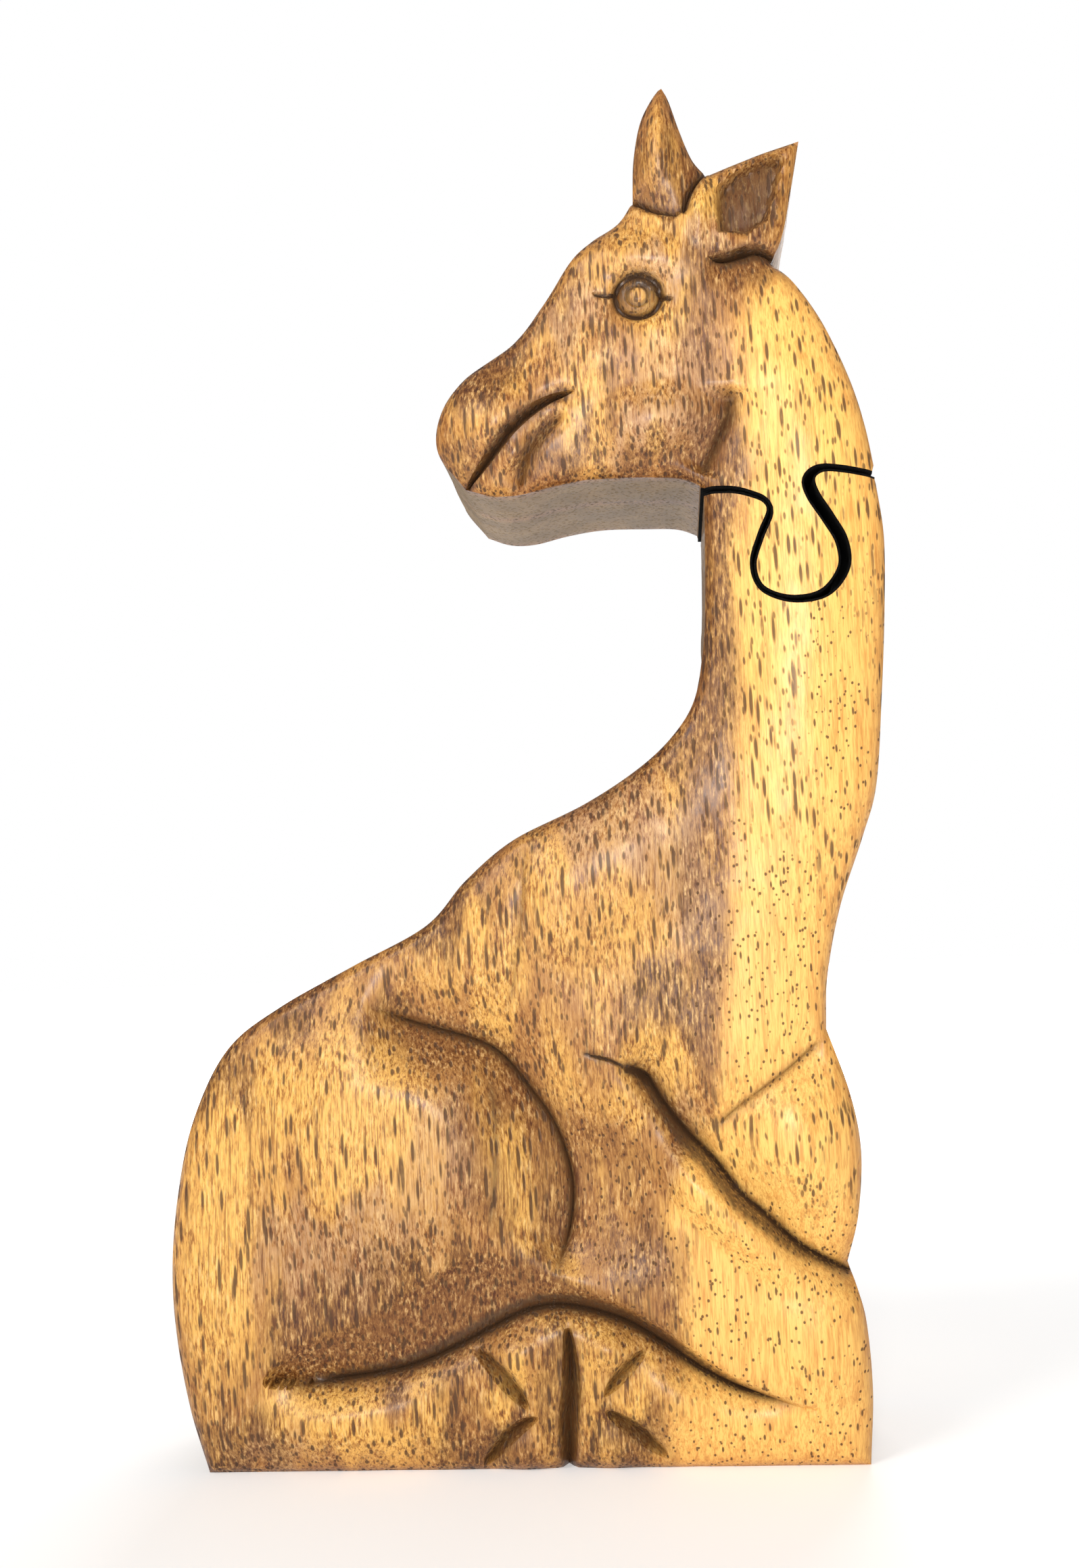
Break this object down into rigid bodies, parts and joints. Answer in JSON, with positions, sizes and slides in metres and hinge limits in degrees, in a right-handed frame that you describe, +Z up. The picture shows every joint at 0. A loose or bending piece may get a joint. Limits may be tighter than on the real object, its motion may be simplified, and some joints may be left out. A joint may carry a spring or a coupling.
{
  "type": "carved wooden puzzle box",
  "caption": "Wooden puzzle box carved as a seated giraffe; the lobed head slides out of the neck and the carved front half lifts off a flock-lined compartment.",
  "frame": {"origin": "middle of the object's box, on the plane of the base", "axes": "+Z up, -Y the way the carved face looks, +X to the right of the carved face"},
  "size_m": [0.1082, 0.038, 0.2032],
  "materials": {
    "carved_wood": "hand-carved, stained brown in the hollows and waxed to a satin sheen; open grain with dark pores",
    "back_wood": "sanded flat and waxed, satin",
    "peg_wood": "plain turned dowel, unfinished",
    "flock": "black flock, short matt pile"
  },
  "bodies": {
    "back_half": {"body_back": "back_wood", "lining_back": "flock", "socket_flock_back": "flock", "peg_upper": "peg_wood", "peg_lower": "peg_wood"},
    "front_half": {"body_front": "carved_wood", "lining_front": "flock", "socket_flock_front": "flock"},
    "head": {"head": "carved_wood", "lobe_flock": "flock"}
  },
  "joints": [
    {"name": "head_slide", "type": "slide", "parent": "back_half", "child": "head", "axis": [0, -1, 0], "range_m": [0, 0.045]},
    {"name": "lid_lift", "type": "slide", "parent": "back_half", "child": "front_half", "axis": [0, -1, 0], "range_m": [0, 0.06]}
  ]
}
